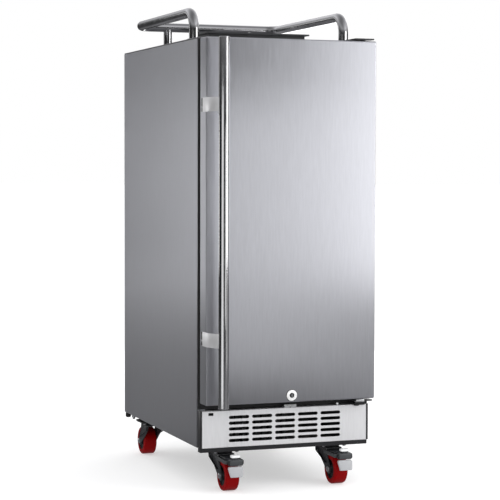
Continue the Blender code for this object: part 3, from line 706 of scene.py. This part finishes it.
def make_hinge_trim():
    """Plate and levelling knob under the lower hinge, and a screw beside them."""
    kick_low, kick_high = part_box("kick_plate")
    plate_left = 0.1515
    plate_right = 0.1705
    knob_x = 0.1620
    screw_x = 0.120
    block("hinge_plate", (plate_left, kick_low.y - 0.0270, kick_high.z + 0.0085),
          (plate_right, kick_low.y - 0.0150, kick_high.z + 0.0140), BRIGHT_ZINC, "cabinet",
          0.0006)
    knob = (knob_x, kick_low.y - 0.0045, kick_high.z + 0.0020)
    turned("hinge_adjuster", knob, "z",
           [(0.0, 0.0060), (0.0030, 0.0060), (0.0034, 0.0028), (0.0052, 0.0026), (0.0060, 0.0014),
            (0.0062, -0.0024), (0.0052, -0.0040), (0.0, -0.0040)], BLACK_PLASTIC, "cabinet",
           24)
    screw("kick_screw_right", (screw_x, kick_low.y + 0.0020, kick_high.z + 0.0034), "-y",
          0.0024, 0.0016, "cabinet", PALE_TAB)


def make_tray_rim():
    """The rolled bead round the drip tray's lip."""
    low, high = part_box("drip_tray")
    bead = 0.0017
    outline = rounded((low.x + bead, low.y + bead), (high.x - bead, high.y - bead), 0.010, 6)
    work = bmesh.new()
    add_tube(work, [(x, y, high.z - bead) for x, y in outline], bead, 12, closed=True)
    finish_piece("tray_bead", work, POLISHED, "cabinet", 60)


def make_rear_feet():
    """A rounded rubber foot under each rear corner, and a bolt in front of it."""
    bolt_x = 0.1845
    bolt_ahead = 0.0535
    for label, side in (("left", -1), ("right", 1)):
        low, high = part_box("rear_foot_" + label)
        foot = (low + high) / 2
        radius = (high.x - low.x) / 2
        soft = 0.0042
        profile = [(0.0, high.z), (radius - 0.0008, high.z), (radius, high.z - 0.0015)]
        profile += arc((radius - soft, low.z + soft), soft, 0, -90, 6) + [(0.0, low.z)]
        pad = turned("rear_foot_pad_" + label, (foot.x, foot.y, 0.0), "z", profile, RUBBER,
                     "cabinet", 32)
        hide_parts("rear_foot_" + label)
        turned("rear_bolt_" + label, (side * bolt_x, foot.y - bolt_ahead, high.z), "z",
               [(0.0, 0.0), (0.0046, 0.0), (0.0046, -0.0046), (0.0030, -0.0050),
                (0.0030, -0.0086), (0.0, -0.0086)], ZINC, "cabinet", 20)


# Inside, seen with the door open

def make_gasket():
    """Magnetic door seal: a bellows with mitred corners."""
    low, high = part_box("door_gasket")
    depth = high.y - low.y
    fold = 0.0020
    outer = [(fold, 1.0), (fold * 0.5, 0.92), (fold * 1.6, 0.74), (fold * 0.7, 0.52),
             (fold * 1.6, 0.32), (0.0, 0.18), (0.0, 0.0)]
    width = 0.0165
    profile = [(inset, low.y + share * depth) for inset, share in outer]
    profile += [(width - inset, low.y + share * depth) for inset, share in reversed(outer)]
    work = bmesh.new()
    add_ring(work, (low.x, low.z), (high.x, high.z), profile)
    black_ring = finish_piece("door_seal", work, RUBBER, "door", 50)
    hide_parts("door_gasket")


def make_inside():
    """Pressed panel in the door liner, steel floor plate, fan guard and knob ticks."""
    low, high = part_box("door_liner")
    margin = 0.045
    work = bmesh.new()
    add_ring(work, (low.x + margin, low.z + margin), (high.x - margin, high.z - margin),
             [(0.0, high.y), (0.004, high.y + 0.0030), (0.010, high.y + 0.0030),
              (0.014, high.y)])
    finish_piece("door_liner_bead", work, WHITE_PLASTIC, "door", 20)
    low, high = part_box("inner_liner")
    wall = 0.003
    block("keg_floor_plate", (low.x + wall + 0.004, low.y + 0.006, low.z + 0.0021),
          (high.x - wall - 0.004, 0.110, low.z + 0.0035), TOP_STEEL, "cabinet",
          0.0004)
    cover_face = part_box("evaporator_cover")[0].y
    fan = node_middle("evaporator_fan")
    work = bmesh.new()
    wire = 0.0009
    for radius in (0.012, 0.022, 0.032, 0.042, 0.0505):
        ring = [(fan.x + radius * math.cos(math.tau * step / 40), cover_face - 0.0030,
                 fan.z + radius * math.sin(math.tau * step / 40)) for step in range(40)]
        add_tube(work, ring, wire, 8, closed=True)
    for step in range(6):
        angle = math.tau * step / 6
        spoke = [(fan.x + radius * math.cos(angle), cover_face - 0.0016,
                  fan.z + radius * math.sin(angle)) for radius in (0.012, 0.0515)]
        add_tube(work, spoke, wire, 8)
    finish_piece("fan_guard", work, ZINC, "cabinet", 60)
    knob = node_middle("thermostat_knob")
    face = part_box("thermostat_housing")[0].y
    tick_ring = 0.0145
    work = bmesh.new()
    for step in range(9):
        angle = math.radians(-45 + step * 270 / 8)
        x = knob.x + tick_ring * math.cos(angle)
        z = knob.z + tick_ring * math.sin(angle)
        add_block(work, (x - 0.0005, face - 0.0001, z - 0.0005),
                  (x + 0.0005, face + 0.0003, z + 0.0005))
    finish_piece("thermostat_ticks", work, DARK_GREY, "cabinet")


# Stage, lights and camera

def make_floor():
    """A wide pale disc that catches the shadow and is left out of reflections."""
    reach = 60.0
    work = bmesh.new()
    bmesh.ops.create_circle(work, cap_ends=True, segments=96, radius=reach)
    mesh = bpy.data.meshes.new("floor")
    work.to_mesh(mesh)
    work.free()
    shader = Shader("floor_white")
    shader.set(Base_Color=(0.68, 0.68, 0.685, 1), Roughness=0.9, Specular_IOR_Level=0.0,
               Emission_Color=(1, 1, 1, 1), Emission_Strength=0.44)
    mesh.materials.append(shader.material)
    floor = bpy.data.objects.new("floor", mesh)
    bpy.context.scene.collection.objects.link(floor)
    floor.visible_glossy = False


def make_world():
    """White for the camera and for diffuse light.

    Metal reflects a dark room with a grey floor and a light ceiling instead. The room is dimmer
    toward the front left.
    """
    world = bpy.data.worlds.new("studio")
    bpy.context.scene.world = world
    world.use_nodes = True
    tree = world.node_tree
    tree.nodes.clear()
    output = tree.nodes.new("ShaderNodeOutputWorld")
    mix = tree.nodes.new("ShaderNodeMixShader")
    path = tree.nodes.new("ShaderNodeLightPath")
    white = tree.nodes.new("ShaderNodeBackground")
    white.inputs["Color"].default_value = (1, 1, 1, 1)
    room = tree.nodes.new("ShaderNodeBackground")
    place = tree.nodes.new("ShaderNodeTexCoord")
    axes = tree.nodes.new("ShaderNodeSeparateXYZ")
    climb = tree.nodes.new("ShaderNodeValToRGB")
    stops = climb.color_ramp.elements
    stops[0].color = (0.32, 0.32, 0.33, 1)
    stops[-1].color = (0.20, 0.20, 0.21, 1)
    greys_by_height = ((0.32, 0.28), (0.40, 0.04), (0.57, 0.04), (0.71, 0.85), (0.83, 0.60))
    for place_on, grey in greys_by_height:
        stop = stops.new(place_on)
        stop.color = (grey, grey, grey * 1.03, 1)
    height = tree.nodes.new("ShaderNodeMapRange")
    height.inputs["From Min"].default_value = -1.0
    tree.links.new(place.outputs["Generated"], axes.inputs["Vector"])
    tree.links.new(axes.outputs["Z"], height.inputs["Value"])
    tree.links.new(height.outputs["Result"], climb.inputs["Fac"])
    tree.links.new(climb.outputs["Color"], room.inputs["Color"])
    toward = tree.nodes.new("ShaderNodeVectorMath")
    toward.operation = "DOT_PRODUCT"
    toward.inputs[1].default_value = (1.0, 0.6, 0.0)
    side = tree.nodes.new("ShaderNodeMapRange")
    side.interpolation_type = "SMOOTHSTEP"
    side.inputs["From Min"].default_value = -0.75
    side.inputs["From Max"].default_value = 0.0
    side.inputs["To Min"].default_value = 0.45
    side.inputs["To Max"].default_value = 1.0
    tree.links.new(place.outputs["Generated"], toward.inputs[0])
    tree.links.new(toward.outputs["Value"], side.inputs["Value"])
    tree.links.new(side.outputs["Result"], room.inputs["Strength"])
    tree.links.new(path.outputs["Is Glossy Ray"], mix.inputs["Fac"])
    tree.links.new(white.outputs["Background"], mix.inputs[1])
    tree.links.new(room.outputs["Background"], mix.inputs[2])
    tree.links.new(mix.outputs["Shader"], output.inputs["Surface"])


def add_softbox(name, azimuth, distance, height, size, power, aim_height=0.5):
    """A rectangular lamp at an azimuth seen from above, 0 in front and 90 to the right."""
    angle = math.radians(azimuth)
    spot = Vector((distance * math.sin(angle), -distance * math.cos(angle), height))
    lamp = bpy.data.lights.new(name, "AREA")
    lamp.shape = "RECTANGLE"
    lamp.size, lamp.size_y = size
    lamp.energy = power
    thing = bpy.data.objects.new(name, lamp)
    thing.location = spot
    aim = Vector((0, 0, aim_height)) - spot
    thing.rotation_mode = "QUATERNION"
    thing.rotation_quaternion = aim.to_track_quat("-Z", "Y")
    thing.visible_camera = False
    bpy.context.scene.collection.objects.link(thing)


def make_lights():
    """Soft cards round the cabinet. The ones behind it on the left show in its side and rail."""
    add_softbox("front_card", 10, 1.5, 0.48, (0.6, 0.80), 1.2, 0.6)
    add_softbox("right_softbox", 42, 1.5, 0.80, (0.9, 0.95), 7.2, 0.6)
    add_softbox("right_low_card", 42, 1.5, 0.12, (0.9, 0.5), 0.7, 0.6)
    add_softbox("handle_card", -42, 1.6, 0.36, (1.0, 1.4), 4.6, 0.6)
    add_softbox("left_softbox", -141, 4.0, 0.60, (1.1, 1.0), 9.0, 0.6)
    add_softbox("left_low_card", -148, 1.6, 0.10, (0.7, 0.6), 0.28, 0.6)
    add_softbox("rail_card", -150, 4.0, 1.50, (1.4, 0.5), 1.8, 0.6)
    add_softbox("rear_softbox", 150, 2.4, 0.80, (1.2, 1.4), 12)


def make_camera():
    """A long lens from the front left, a little above the door's middle, tilted down."""
    camera = bpy.data.cameras.new("camera")
    camera.sensor_width = 36.0
    camera.lens = CAMERA_LENS_MM
    camera.clip_end = 200.0
    thing = bpy.data.objects.new("camera", camera)
    bpy.context.scene.collection.objects.link(thing)
    yaw, pitch, roll = (math.radians(angle) for angle in CAMERA_DEGREES)
    ahead = Vector((math.sin(yaw) * math.cos(pitch), math.cos(yaw) * math.cos(pitch),
                    math.sin(pitch)))
    right = ahead.cross(Vector((0, 0, 1))).normalized()
    up = right.cross(ahead)
    level = Matrix((right, up, -ahead)).transposed()
    turn = level @ Matrix.Rotation(roll, 3, "Z")
    thing.matrix_world = Matrix.Translation(CAMERA_PLACE) @ turn.to_4x4()
    bpy.context.scene.camera = thing


def main():
    dress_frame()
    make_handle()
    make_straps()
    make_lock()
    make_rail()
    for label in CASTERS:
        make_wheel(label)
        make_fork(label)
        make_caster_plate(label)
    for label in CASTERS[:2]:
        make_brake(label)
    make_front_trim()
    make_hinge_trim()
    make_tray_rim()
    make_gasket()
    make_inside()
    make_rear_feet()
    make_floor()
    make_world()
    make_lights()
    make_camera()
    bpy.context.scene.view_settings.view_transform = "Standard"


main()
